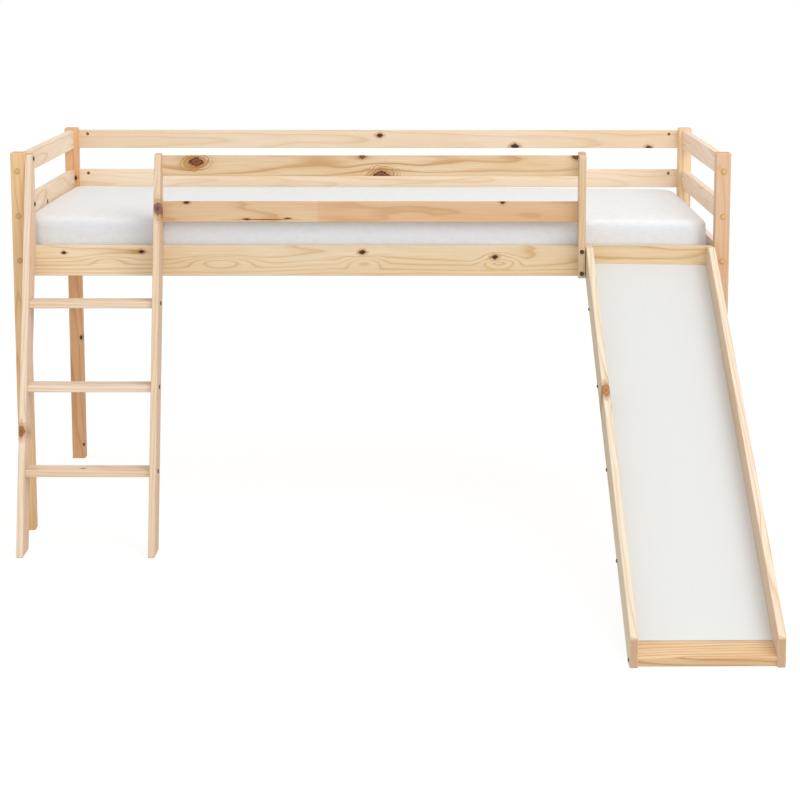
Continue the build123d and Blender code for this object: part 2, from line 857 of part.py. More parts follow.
def build_guard(parts, hardware):
    """Guard boards and guard post with their bolts."""
    parts["guard_post"] = guard_post()
    for name in guard_tops:
        parts[name] = guard_board(name)
    for (board_name, upright), group in guard_board_bolts().items():
        parts[board_name] = cut_all(parts[board_name], [bolt.board_cut() for bolt in group])
        parts[upright] = cut_all(parts[upright], [bolt.holder_cut() for bolt in group])
        hardware["guard_board_bolts"].extend(bolt.bolt() for bolt in group)
        hardware["barrel_nuts"].extend(bolt.nut() for bolt in group)
    for seat in guard_bolt_places():
        depth = guard_post_reach + front_rail_back - blind_end
        bore = rod(seat - BACK * cut_overrun, BACK, depth + cut_overrun, bolt_radius + bolt_clearance)
        nut_seat = Vector(seat.X, front_rail_face, seat.Z)
        pocket = rod(nut_seat, BACK, insert_length + insert_clearance, sleeve_radius + insert_clearance)
        parts["guard_post"] = parts["guard_post"] - bore
        parts["bed_rail_front"] = parts["bed_rail_front"] - bore - pocket
        hardware["guard_bolts"].append(round_bolt(seat, BACK, depth - blind_end))
        hardware["guard_bolts"].append(sleeve_nut(nut_seat, BACK, insert_length, 0, 0))


def build_slide(parts, hardware):
    """Slide sides, panel, battens and end board with their screws, swung and trimmed."""
    sides = {
        "left": slide_side(slide_left) - panel_groove_cut(slide_left + board - panel_groove),
        "right": slide_side(slide_right - board) - panel_groove_cut(slide_right - board),
    }
    pieces = {"slide_end_board": slide_end_board()}
    for index, near in enumerate(slide_batten_nears()):
        pieces[f"slide_batten_{index + 1}"] = slide_batten(near)
    for side, name, seat, run in slide_screw_places():
        cutter = screw_cut(seat, run, slide_screw_length)
        sides[side] = sides[side] - cutter
        pieces[name] = pieces[name] - cutter
        hardware["slide_screws"].append(swing(pan_screw(seat, run, slide_screw_length)))
    for name, solid in pieces.items():
        parts[name] = swing(solid)
    parts["slide_panel"] = trim_to_rail(swing(slide_panel()))
    for side, solid in sides.items():
        parts[f"slide_side_{side}"] = trim_to_rail(swing(solid))
    for name, bolt in slide_bolts().items():
        parts[name] = parts[name] - bolt.board_cut()
        parts["bed_rail_front"] = parts["bed_rail_front"] - bolt.holder_cut()
        hardware["slide_bolts"].append(bolt.bolt())
        hardware["barrel_nuts"].append(bolt.nut())


def main():
    """Build every piece, move the bed to its origin and write one file for each."""
    parts = {}
    groups = (
        "frame_bolts", "barrel_nuts", "bolt_caps", "batten_screws", "slat_screws", "rung_screws",
        "ladder_bolts", "ladder_nuts", "guard_board_bolts", "guard_bolts", "slide_screws", "slide_bolts",
    )
    hardware = {name: [] for name in groups}
    build_frame(parts, hardware)
    build_slats(parts, hardware)
    parts["mattress"] = mattress()
    build_ladder(parts, hardware)
    build_guard(parts, hardware)
    build_slide(parts, hardware)
    for name, group in hardware.items():
        parts[name] = Compound([piece.solid() for piece in group])
    box = Compound([piece for shape in parts.values() for piece in shape.solids()]).bounding_box()
    to_origin = Pos(-box.center().X, -box.center().Y, -box.min.Z)
    os.makedirs("parts", exist_ok=True)
    for name, shape in parts.items():
        export_step(to_origin * shape, f"parts/{name}.step")
    print("pieces", len(parts), "origin shift", to_origin.position, "size", box.size)


main()
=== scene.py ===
"""Looks of a half-high pine loft bed with a leaning ladder, a guard rail, a slide and a mattress.

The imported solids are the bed's joinery and stay as they are: each board, bolt and cap gets a finish
of its own. The mattress in its fitted sheet is modelled here as cloth over foam.
"""

import logging
import math
import random
from dataclasses import dataclass, field, replace
from enum import Enum

import bmesh
import bpy
from mathutils import Matrix, Vector


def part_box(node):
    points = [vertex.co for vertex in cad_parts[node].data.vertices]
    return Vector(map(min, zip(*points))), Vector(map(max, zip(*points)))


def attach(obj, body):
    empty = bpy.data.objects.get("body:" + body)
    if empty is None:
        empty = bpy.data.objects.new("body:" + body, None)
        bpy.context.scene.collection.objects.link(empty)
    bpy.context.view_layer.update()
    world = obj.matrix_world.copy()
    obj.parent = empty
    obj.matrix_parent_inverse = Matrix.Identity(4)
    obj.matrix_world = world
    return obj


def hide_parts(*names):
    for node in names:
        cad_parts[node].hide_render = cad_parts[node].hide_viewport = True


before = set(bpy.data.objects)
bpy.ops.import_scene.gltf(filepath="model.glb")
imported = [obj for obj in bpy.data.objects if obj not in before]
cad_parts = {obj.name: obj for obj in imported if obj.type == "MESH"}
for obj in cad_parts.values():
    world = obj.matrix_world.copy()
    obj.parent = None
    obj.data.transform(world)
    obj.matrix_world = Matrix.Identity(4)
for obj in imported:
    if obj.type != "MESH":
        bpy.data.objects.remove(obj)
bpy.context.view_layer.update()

log = logging.getLogger("loft_bed")

Colour = tuple[float, float, float, float]
Point = tuple[float, float, float]
Tree = bpy.types.NodeTree
Node = bpy.types.Node
Socket = bpy.types.NodeSocket

SLOPE = math.radians(32.15)
SWING = math.radians(1.1)
LEAN = math.radians(15.5)

WHITE = (1.0, 1.0, 1.0, 1.0)
SMOOTH = {"interpolation_type": "SMOOTHSTEP"}
# How much shorter a knot counts along the grain, where the saw's slant draws it out.
SLANT = 0.6
# Radius from which the year rings curl strongly round a knot, and how far apart they then are.
BIG_KNOT = 0.011
CURL_STEP = 0.0078


def linear(hex_colour: str) -> Colour:
    """Turns an sRGB hex colour into the linear colour that the shaders use.

    Args:
        hex_colour: Six hexadecimal digits with a leading hash.

    Returns:
        Linear red, green, blue and an alpha of 1.
    """
    channels = [int(hex_colour[i : i + 2], 16) / 255 for i in (1, 3, 5)]
    bent = [c / 12.92 if c <= 0.04045 else ((c + 0.055) / 1.055) ** 2.4 for c in channels]
    return (bent[0], bent[1], bent[2], 1.0)


def feed(node: Node, values: dict, links: dict) -> None:
    """Sets and links a node's input sockets.

    Args:
        node: The node.
        values: Input socket names or numbers with their values.
        links: Input socket names or numbers with the output socket that feeds each of them, or
            with a node whose first output does.
    """
    for key, value in values.items():
        node.inputs[key].default_value = value
    for key, source in links.items():
        if isinstance(source, Node):
            source = source.outputs[0]
        node.id_data.links.new(source, node.inputs[key])


def add(tree: Tree, kind: str, settings: dict | None = None, links: dict | None = None) -> Node:
    """Adds a node with its settings and links.

    Args:
        tree: Node tree that gets the node.
        kind: Shader node type without its "ShaderNode" prefix, and the operation of a Math or
            VectorMath node after a blank.
        settings: Attribute names, or socket names and numbers, with their values; a ramp's stops
            are pairs of position and colour in rising order.
        links: Input sockets with what feeds them, as in feed.

    Returns:
        The new node.
    """
    kind, _, operation = kind.partition(" ")
    made = tree.nodes.new("ShaderNode" + kind)
    if operation:
        made.operation = operation
    inputs = {}
    for key, value in (settings or {}).items():
        if key == "stops":
            first, *between, last = value
            elements = made.color_ramp.elements
            elements[0].position, elements[0].color = first
            elements[1].position, elements[1].color = last
            for position, colour in between:
                elements.new(position).color = colour
        elif isinstance(key, int) or key in made.inputs:
            inputs[key] = value
        else:
            setattr(made, key, value)
    feed(made, inputs, links or {})
    return made


def start_material(name: str) -> tuple[bpy.types.Material, Tree, Node]:
    """Starts a material.

    Args:
        name: The material's name.

    Returns:
        The material, its node tree and its Principled shader.
    """
    made = bpy.data.materials.new(name)
    made.use_nodes = True
    return made, made.node_tree, made.node_tree.nodes["Principled BSDF"]


class Way(Enum):
    """How a board lies in the bed: its grain's direction and the direction across its wide face."""

    ALONG_BED = ((1.0, 0.0, 0.0), (0.0, 0.0, 1.0))
    ALONG_BED_FLAT = ((1.0, 0.0, 0.0), (0.0, 1.0, 0.0))
    ACROSS_BED = ((0.0, 1.0, 0.0), (0.0, 0.0, 1.0))
    ACROSS_BED_FLAT = ((0.0, 1.0, 0.0), (1.0, 0.0, 0.0))
    UPRIGHT = ((0.0, 0.0, 1.0), (1.0, 0.0, 0.0))
    UPRIGHT_EDGE_ON = ((0.0, 0.0, 1.0), (0.0, 1.0, 0.0))
    LEANING = (
        (0.0, math.sin(LEAN), math.cos(LEAN)),
        (0.0, math.cos(LEAN), -math.sin(LEAN)),
    )
    DOWN_SLIDE = (
        (-math.sin(SWING) * math.cos(SLOPE), math.cos(SWING) * math.cos(SLOPE), math.sin(SLOPE)),
        (math.sin(SWING) * math.sin(SLOPE), -math.cos(SWING) * math.sin(SLOPE), math.cos(SLOPE)),
    )
    ACROSS_SLIDE = (
        (math.cos(SWING), math.sin(SWING), 0.0),
        (-math.sin(SWING) * math.cos(SLOPE), math.cos(SWING) * math.cos(SLOPE), math.sin(SLOPE)),
    )

    def turn(self) -> Matrix:
        """Returns the rotation that takes the board's grain to X and its width to Y."""
        grain, width = Vector(self.value[0]), Vector(self.value[1])
        return Matrix((grain, width, grain.cross(width)))


@dataclass(frozen=True)
class Knot:
    """A branch's stub in the wood.

    Its place is counted as the bed is built: from the left posts' outer faces, the front posts'
    front faces and the floor. It is a rod of the given radius along its axis, and stretch makes it
    that many times longer along the grain, as a pocket of resin is.
    """

    place: Point
    radius: float
    axis: Point = (0.0, 1.0, 0.0)
    stretch: float = 1.0


@dataclass(frozen=True)
class Eye:
    """A low bulge of the year rings, which the saw cuts into nested ovals.

    Its place is counted as a knot's is; length and width are those of the outermost oval.
    """

    place: Point
    length: float
    width: float
    rise: float = 0.034


@dataclass(frozen=True)
class PlanedPine:
    """Untreated pine, planed and lightly sanded.

    Plain-sawn softwood: pale earlywood with thin tan latewood lines that run along the board and
    close in arches, knots with dark bark rims that the lines flow round, and a dull surface with
    a faint silk along the fibres. A knot runs from its core over heart and rim to its bark, with a
    warm halo round it. Ring is the width of a year, pith the way to the log's middle, and wild the
    share of places that get a small knot of their own.
    """

    way: Way
    pale: str = "#EFD9B6"
    line: str = "#D9B07C"
    flush: str = "#E9C79C"
    ring: float = 0.0085
    wild: float = 0.35
    core: str = "#24150D"
    heart: str = "#5A3722"
    rim: str = "#3A2216"
    bark: str = "#94643C"
    halo: str = "#AE7840"
    curl: str = "#A8723E"
    end_grain: str = "#B98A58"
    # Paler colour painted on the narrow edges as the light they catch; empty for none.
    painted_lit_edge: str = ""
    # A step in tone along the board past a place: a glued joint on the guard's mid board, painted
    # light on the front bed rail.
    joint_and_painted_light: tuple[float, str] | None = None
    eyes: tuple[Eye, ...] = ()
    knots: tuple[Knot, ...] = ()
    name: str = "pine"
    centre: Point = (0.0, 0.0, 0.0)
    pith: tuple[float, float] = (0.01, -0.05)
    stray: float = 0.044
    seed: float = 0.0
    cell: Point = (2.6, 9.0, 0.0)

    def spot(self, place: Point) -> Point:
        """Gives a place on the bed in board space."""
        return tuple(self.way.turn() @ (bed_point(place) - Vector(self.centre)))

    def board_space(self, tree: Tree) -> Node:
        """Lays Object coordinates along the board.

        Args:
            tree: The material's nodes.

        Returns:
            A node whose X runs along the grain and Y across the board's width, from its middle.
        """
        turn = self.way.turn()
        coords = add(tree, "TexCoord")
        placed = {
            "Rotation": tuple(turn.to_euler("XYZ")),
            "Location": tuple(-(turn @ Vector(self.centre))),
        }
        return add(tree, "Mapping", placed, {"Vector": coords.outputs["Object"]})

    def scattered_knots(self, tree: Tree, space: Node) -> tuple[Node, Node, Node]:
        """Strews small knots over the board; a very small wild leaves hardly any.

        Args:
            tree: The material's nodes.
            space: Board space from board_space.

        Returns:
            The distance to the nearest knot counted in its radii, the board space bent round the
            knots, and how near such a bend is, up to 1.
        """
        shifted = add(tree, "VectorMath ADD", {1: (self.seed, self.seed * 0.37, 0)}, {0: space})
        scaled = add(tree, "VectorMath MULTIPLY", {1: self.cell}, {0: shifted})
        plane = {"voronoi_dimensions": "2D", "Scale": 1.0, "Randomness": 1.0}
        found = add(tree, "TexVoronoi", plane, {"Vector": scaled})
        away = add(tree, "VectorMath SUBTRACT", {}, {0: scaled, 1: found.outputs["Position"]})
        size = (SLANT / self.cell[0], 1 / self.cell[1], 0)
        flat = add(tree, "VectorMath MULTIPLY", {1: size}, {0: away})
        far = add(tree, "VectorMath LENGTH", {}, {0: flat})
        pick = add(tree, "SeparateColor", links={0: found.outputs["Color"]})
        radii = {1: 1.0 - self.wild, 2: 1.0, 3: 0.00012, 4: 0.0065}
        radius = add(tree, "MapRange", radii, {0: pick})
        nearest = add(tree, "Math DIVIDE", {}, {0: far.outputs["Value"], 1: radius})
        pull = add(tree, "MapRange", {**SMOOTH, 1: 0.4, 2: 4.0, 3: 0.8, 4: 0.0}, {0: nearest})
        shove = add(tree, "VectorMath SCALE", {}, {0: flat, "Scale": pull})
        bent = add(tree, "VectorMath MULTIPLY_ADD", {1: (0, -1, 0)}, {0: shove, 2: space})
        return nearest, bent, pull

    def curl_lines(self, tree: Tree, side: Node, circle: Socket, radius: float) -> Node:
        """Draws the strong lines that curl round a big knot.

        Args:
            tree: The material's nodes.
            side: The way out from the knot's axis.
            circle: The distance from the knot's axis.
            radius: The knot's radius.

        Returns:
            A node that is up to 1 on the lines and 0 off them.
        """
        leaf = add(tree, "TexNoise", {"Scale": 26.0, "Detail": 1.0}, {"Vector": side})
        loose = add(tree, "Math MULTIPLY_ADD", {1: 0.03}, {0: leaf, 2: circle})
        step = add(tree, "Math DIVIDE", {1: CURL_STEP}, {0: loose})
        turns = add(tree, "Math PINGPONG", {1: 0.5}, {0: step})
        line = add(tree, "MapRange", {**SMOOTH, 1: 0.2, 2: 0.46}, {0: turns})
        fading = {**SMOOTH, 1: 1.6 * radius, 2: 3.6 * radius, 3: 0.85, 4: 0.0}
        limit = add(tree, "MapRange", fading, {0: circle})
        return add(tree, "Math MULTIPLY", {}, {0: line, 1: limit})

    def knot_field(self, tree: Tree, space: Node) -> tuple[Node, Node, Node, Node]:
        """Finds the knots, and bends the grain round them.

        Args:
            tree: The material's nodes.
            space: Board space from board_space.

        Returns:
            The distance to the nearest knot's axis counted in its radii, the board space bent so
            that straight lines in it flow round the knots, and how near such a bend is, up to 1;
            then the strong lines that curl round a big knot, from 0 to 1.
        """
        nearest, bent, pull = self.scattered_knots(tree, space)
        curls = add(tree, "Value")
        for knot in self.knots:
            axis = (self.way.turn() @ Vector(knot.axis)).normalized()
            across = (1.0, 1 - abs(axis.y), 1 - abs(axis.z))
            gap = add(tree, "VectorMath SUBTRACT", {1: self.spot(knot.place)}, {0: space})
            side = add(tree, "VectorMath MULTIPLY", {1: across}, {0: gap})
            # The saw cuts a stub at a slant, so it ends in two points along the grain.
            drawn = (SLANT / knot.stretch if abs(axis.x) < 0.7 else 1.0, 1, 1)
            oval = add(tree, "VectorMath MULTIPLY", {1: drawn}, {0: side})
            bare = add(tree, "VectorMath ABSOLUTE", {}, {0: oval})
            square = add(tree, "VectorMath DOT_PRODUCT", {1: (1, 1, 1)}, {0: bare})
            circle = add(tree, "VectorMath LENGTH", {}, {0: oval}).outputs["Value"]
            both = add(tree, "Math MULTIPLY_ADD", {1: 0.8}, {0: square.outputs["Value"], 2: circle})
            part = add(tree, "Math DIVIDE", {1: 1.9 * knot.radius}, {0: both})
            nearest = add(tree, "Math MINIMUM", {}, {0: nearest, 1: part})
            wide = add(tree, "VectorMath MULTIPLY", {1: (0.36, 1, 1)}, {0: side})
            reach = add(tree, "VectorMath LENGTH", {}, {0: wide})
            bend = {**SMOOTH, 1: 0.3 * knot.radius, 2: 4.2 * knot.radius, 3: 0.82, 4: 0.0}
            close = add(tree, "MapRange", bend, {0: reach.outputs["Value"]})
            shove = add(tree, "VectorMath SCALE", {}, {0: wide, "Scale": close})
            bent = add(tree, "VectorMath MULTIPLY_ADD", {1: (0, -1, -1)}, {0: shove, 2: bent})
            pull = add(tree, "Math MAXIMUM", {}, {0: pull, 1: close})
            if knot.radius > BIG_KNOT and abs(knot.axis[1]) > 0.5:
                lines = self.curl_lines(tree, side, circle, knot.radius)
                curls = add(tree, "Math MAXIMUM", {}, {0: curls, 1: lines})
        ragged = add(tree, "TexNoise", {"Scale": 120.0, "Detail": 2.0}, {"Vector": space})
        swell = add(tree, "MapRange", {1: 0.3, 2: 0.7, 3: 0.84, 4: 1.2}, {0: ragged})
        rough = add(tree, "Math MULTIPLY", {}, {0: nearest, 1: swell})
        return rough, bent, pull, curls

    def rings(self, tree: Tree, space: Node) -> Node:
        """Year rings of the log, cut by the board.

        Args:
            tree: The material's nodes.
            space: Board space, bent round the knots.

        Returns:
            A node that is 0 in the pale wood and 1 in the tan line.
        """
        offset = (self.seed * 3.1, self.seed, self.seed * 1.7)
        seeded = add(tree, "VectorMath ADD", {1: offset}, {0: space})
        slow = add(tree, "Mapping", {"Scale": (0.9, 6.0, 6.0)}, {"Vector": seeded})
        uneven = {"Scale": 1.6, "Detail": 2.5, "Roughness": 0.55}
        wander = add(tree, "TexNoise", uneven, {"Vector": slow})
        log_axis = {
            1: (0, self.stray, self.stray),
            2: (0, -self.stray / 2 - self.pith[0], -self.stray / 2 - self.pith[1]),
        }
        spread = add(tree, "VectorMath MULTIPLY_ADD", log_axis, {0: wander.outputs["Color"]})
        moved = add(tree, "VectorMath ADD", {}, {0: space, 1: spread})
        parts = add(tree, "SeparateXYZ", links={0: moved})
        depth = add(tree, "Math MULTIPLY_ADD", {1: 0.018}, {0: parts, 2: parts.outputs[2]})
        for eye in self.eyes:
            gap = add(tree, "VectorMath SUBTRACT", {1: self.spot(eye.place)}, {0: space})
            size = (2 / eye.length, 2 / eye.width, 0)
            oval = add(tree, "VectorMath MULTIPLY", {1: size}, {0: gap})
            far = add(tree, "VectorMath LENGTH", {}, {0: oval})
            low = {**SMOOTH, 1: 0.0, 2: 1.25, 3: eye.rise, 4: 0.0}
            bulge = add(tree, "MapRange", low, {0: far.outputs["Value"]})
            depth = add(tree, "Math ADD", {}, {0: depth, 1: bulge})
        across = add(tree, "CombineXYZ", links={1: parts.outputs[1], 2: depth})
        reach = add(tree, "VectorMath LENGTH", {}, {0: across})
        count = add(tree, "Math DIVIDE", {1: self.ring}, {0: reach.outputs["Value"]})
        year = add(tree, "Math FRACT", {}, {0: count})
        # Over one year the wood darkens slowly, then ends in a sharp line.
        levels = (
            (0.0, 0.3), (0.1, 0.08), (0.45, 0.0), (0.74, 0.22), (0.9, 0.9), (0.96, 1.0), (1.0, 0.3),
        )
        stops = [(position, (level, level, level, 1)) for position, level in levels]
        return add(tree, "ValToRGB", {"stops": stops}, {0: year})

    def clear_wood(self, tree: Tree, space: Node, patch: Node, normal: Socket) -> Node:
        """Colours the pale wood between the lines.

        Args:
            tree: The material's nodes.
            space: Board space from board_space.
            patch: Slow noise over the board.
            normal: The surface's normal.

        Returns:
            A node with the colour.
        """
        flushed = add(tree, "MapRange", {1: 0.36, 2: 0.68}, {0: patch})
        base = add(tree, "MixRGB", {1: linear(self.pale), 2: linear(self.flush)}, {0: flushed})
        # Past the given place the board is mixed towards another tone. On the front bed rail this is
        # painted light: up to the right ladder stile it keeps its paler tone, lifting the stiles'
        # shade.
        if self.joint_and_painted_light:
            place, colour = self.joint_and_painted_light
            seam = self.spot((place, 0, 0))[0]
            along = add(tree, "SeparateXYZ", links={0: space})
            right = add(tree, "MapRange", {1: seam, 2: seam + 0.006, 3: 0.0, 4: 0.35}, {0: along})
            base = add(tree, "MixRGB", {2: linear(colour)}, {0: right, 1: base})
        if self.painted_lit_edge:
            # Painted light: the narrow edges are painted paler, as faces that catch more light than
            # the wide faces.
            leaning = add(tree, "VectorMath DOT_PRODUCT", {1: self.way.value[1]}, {0: normal})
            narrow = add(tree, "Math ABSOLUTE", {}, {0: leaning.outputs["Value"]})
            part = add(tree, "MapRange", {1: 0.6, 2: 0.9, 3: 0.0, 4: 0.75}, {0: narrow})
            base = add(tree, "MixRGB", {2: linear(self.painted_lit_edge)}, {0: part, 1: base})
        return base

    def knotted(self, tree: Tree, knots: Node, wood: Node) -> Node:
        """Colours the knots and the warm wood round them.

        Args:
            tree: The material's nodes.
            knots: The distance to the nearest knot counted in its radii.
            wood: The colour of the wood without knots.

        Returns:
            A node with the colour.
        """
        warm = add(tree, "MapRange", {**SMOOTH, 1: 0.9, 2: 2.7, 3: 0.72, 4: 0.0}, {0: knots})
        warmed = add(tree, "MixRGB", {2: linear(self.halo)}, {0: warm, 1: wood})
        span = add(tree, "Math DIVIDE", {1: 1.5}, {0: knots})
        shells = (
            (0.0, self.core), (0.26, self.core), (0.44, self.heart), (0.6, self.rim),
            (0.68, self.rim), (0.8, self.bark),
        )
        stops = [(position, linear(colour)) for position, colour in shells]
        stub = add(tree, "ValToRGB", {"stops": stops}, {0: span})
        inside = add(tree, "MapRange", {**SMOOTH, 1: 0.92, 2: 1.3, 3: 1.0, 4: 0.0}, {0: knots})
        return add(tree, "MixRGB", links={0: inside, 1: warmed, 2: stub})

    def material(self) -> bpy.types.Material:
        """Builds the material.

        Returns:
            The finish with all its nodes.
        """
        made, tree, shader = start_material(self.name)
        space = self.board_space(tree)
        knots, bent, near, curls = self.knot_field(tree, space)
        rings = self.rings(tree, bent)
        normal = add(tree, "TexCoord").outputs["Normal"]

        slow = {"Scale": (1.7, 9.0, 9.0), "Location": (self.seed, 0, self.seed)}
        broad = add(tree, "Mapping", slow, {"Vector": space})
        patch = add(tree, "TexNoise", {"Scale": 1.0, "Detail": 3.0}, {"Vector": broad})
        base = self.clear_wood(tree, space, patch, normal)
        # The lines fade in and out along the board, as where the plane cuts a ring at a low angle,
        # and they are darkest where they crowd round a knot.
        fading = {1: 0.3, 2: 0.7, 3: 0.32, 4: 0.95}
        fade = add(tree, "MapRange", fading, {0: patch.outputs["Color"]})
        crowd = add(tree, "Math MULTIPLY_ADD", {1: 0.9}, {0: near, 2: fade})
        drawn = add(tree, "Math MULTIPLY", {"use_clamp": True}, {0: rings, 1: crowd})
        lined = add(tree, "MixRGB", {2: linear(self.line)}, {0: drawn, 1: base})
        lined = add(tree, "MixRGB", {2: linear(self.curl)}, {0: curls, 1: lined})

        # Fibres are about 0.05 mm wide; they are drawn some 2 mm wide and 110 mm long to show.
        fine = add(tree, "Mapping", {"Scale": (9.0, 480.0, 480.0)}, {"Vector": bent})
        threads = {"Scale": 1.0, "Detail": 3.0, "Roughness": 0.6}
        fibre = add(tree, "TexNoise", threads, {"Vector": fine})
        fibre_part = add(tree, "MapRange", {1: 0.35, 2: 0.75, 3: 0.0, 4: 0.4}, {0: fibre})
        fibred = add(tree, "MixRGB", {2: linear(self.line)}, {0: fibre_part, 1: lined})
        wood = self.knotted(tree, knots, fibred)

        # End grain drinks light, so it looks a good deal darker than the planed faces.
        facing = add(tree, "VectorMath DOT_PRODUCT", {1: self.way.value[0]}, {0: normal})
        ends = add(tree, "Math ABSOLUTE", {}, {0: facing.outputs["Value"]})
        end_part = add(tree, "MapRange", {1: 0.7, 2: 0.86, 3: 0.0, 4: 0.6}, {0: ends})
        ended = add(tree, "MixRGB", {2: linear(self.end_grain)}, {0: end_part, 1: wood})

        rough = add(tree, "MapRange", {3: 0.5, 4: 0.66}, {0: fibre})
        height = add(tree, "Math MULTIPLY_ADD", {1: 0.5}, {0: rings, 2: fibre})
        bump = add(tree, "Bump", {"Strength": 0.16, "Distance": 0.0006}, {"Height": height})
        feed(
            shader,
            {"IOR": 1.5, "Specular IOR Level": 0.32},
            {"Base Color": ended, "Roughness": rough, "Normal": bump},
        )
        return made


@dataclass(frozen=True)
class WhiteLaminate:
    """White melamine on hardboard.

    A hard, closed surface with a fine orange-peel and faint scuffs along the way that a child
    slides, so its gloss is broken but its colour even.
    """

    name: str = "white_laminate"
    white: str = "#DBDCDA"
    scuffed: str = "#D6D7D5"

    def material(self) -> bpy.types.Material:
        """Builds the material.

        Returns:
            The finish with all its nodes.
        """
        made, tree, shader = start_material(self.name)
        coords = add(tree, "TexCoord").outputs["Object"]
        turned = {"Rotation": tuple(Way.DOWN_SLIDE.turn().to_euler("XYZ"))}
        space = add(tree, "Mapping", turned, {"Vector": coords})
        streaks = add(tree, "Mapping", {"Scale": (2.2, 90.0, 90.0)}, {"Vector": space})
        scuffs = add(tree, "TexNoise", {"Scale": 1.0, "Detail": 4.0}, {"Vector": streaks})
        worn = add(tree, "MapRange", {1: 0.45, 2: 0.75, 3: 0.0, 4: 0.2}, {0: scuffs})
        tint = add(tree, "MixRGB", {1: linear(self.white), 2: linear(self.scuffed)}, {0: worn})
        rough = add(tree, "MapRange", {1: 0.3, 2: 0.75, 3: 0.38, 4: 0.41}, {0: scuffs})
        # Orange-peel of pressed laminate is under 1 mm; it is drawn at 4 mm.
        peel = add(tree, "TexNoise", {"Scale": 250.0, "Detail": 1.0}, {"Vector": space})
        bump = add(tree, "Bump", {"Strength": 0.03, "Distance": 0.0003}, {"Height": peel})
        feed(shader, {"IOR": 1.52}, {"Base Color": tint, "Roughness": rough, "Normal": bump})
        return made


@dataclass(frozen=True)
class KnittedCotton:
    """White jersey of a fitted sheet.

    Fine knitted cotton: matt, softly fuzzy at grazing angles, with close wales along the bed and
    small pulls and puckers where it is stretched over the foam.
    """

    name: str = "white_jersey"
    white: str = "#F1F1F1"
    shade: str = "#E9E9EA"
    # Greys of the painted shade on the upright sides.
    painted_side_shade: str = "#E6E9EE"
    painted_side_shade_dark: str = "#E0E3E9"
    sheen: str = "#FFF6EC"

    def knit(self, tree: Tree, coords: Socket) -> Node:
        """Raises the knit's wales and courses.

        Args:
            tree: The material's nodes.
            coords: Object coordinates.

        Returns:
            A node with their height.
        """
        # Jersey wales are 0.8 mm apart; they are drawn 3 mm apart so that a hint of them shows.
        rows = {"wave_type": "BANDS", "Scale": 105.0, "Distortion": 1.2, "Detail": 2.0}
        wales, courses, upright = (
            add(tree, "TexWave", rows | {"bands_direction": way}, {"Vector": coords}).outputs["Fac"]
            for way in "YXZ"
        )
        loops = add(tree, "Math ADD", {}, {0: wales, 1: courses})
        return add(tree, "Math ADD", {}, {0: loops, 1: upright})

    def tint(self, tree: Tree, slubs: Node) -> Node:
        """Colours the top white, and paints shade on the upright sides, which are a little greyer.

        Args:
            tree: The material's nodes.
            slubs: Noise of the yarn's thick and thin places.

        Returns:
            A node with the colour.
        """
        part = add(tree, "MapRange", {1: 0.35, 2: 0.7}, {0: slubs})
        top = add(tree, "MixRGB", {1: linear(self.white), 2: linear(self.shade)}, {0: part})
        # Painted shade: the upright sides are tinted greyer than the top, standing in for the lesser
        # light that falls on them.
        normal = add(tree, "SeparateXYZ", links={0: add(tree, "TexCoord").outputs["Normal"]})
        flat = add(tree, "Math ABSOLUTE", {}, {0: normal.outputs[2]})
        side = add(tree, "MapRange", {1: 0.3, 2: 0.9, 3: 1.0, 4: 0.0}, {0: flat})
        greys = {1: linear(self.painted_side_shade), 2: linear(self.painted_side_shade_dark)}
        painted_side_shade = add(tree, "MixRGB", greys, {0: part})
        return add(tree, "MixRGB", links={0: side, 1: top, 2: painted_side_shade})

    def material(self) -> bpy.types.Material:
        """Builds the material.

        Returns:
            The finish with all its nodes.
        """
        made, tree, shader = start_material(self.name)
        coords = add(tree, "TexCoord").outputs["Object"]
        knit = self.knit(tree, coords)
        slub = add(tree, "Mapping", {"Scale": (52.0, 90.0, 80.0)}, {"Vector": coords})
        yarn = {"Scale": 1.0, "Detail": 4.0, "Roughness": 0.62}
        slubs = add(tree, "TexNoise", yarn, {"Vector": slub})
        puckers = {"Scale": 9.0, "Detail": 3.0, "Roughness": 0.5, "Distortion": 0.4}
        soft = add(tree, "TexNoise", puckers, {"Vector": coords})
        bump = add(tree, "Bump", {"Strength": 0.25, "Distance": 0.0005}, {"Height": knit})
        for height, strength, distance in ((slubs, 0.13, 0.0012), (soft, 0.08, 0.008)):
            relief = {"Strength": strength, "Distance": distance}
            bump = add(tree, "Bump", relief, {"Height": height, "Normal": bump})
        feed(
            shader,
            {
                "Roughness": 0.88,
                "Specular IOR Level": 0.22,
                "Sheen Weight": 0.08,
                "Sheen Tint": linear(self.sheen),
                "Sheen Roughness": 0.5,
            },
            {"Base Color": self.tint(tree, slubs), "Normal": bump},
        )
        return made


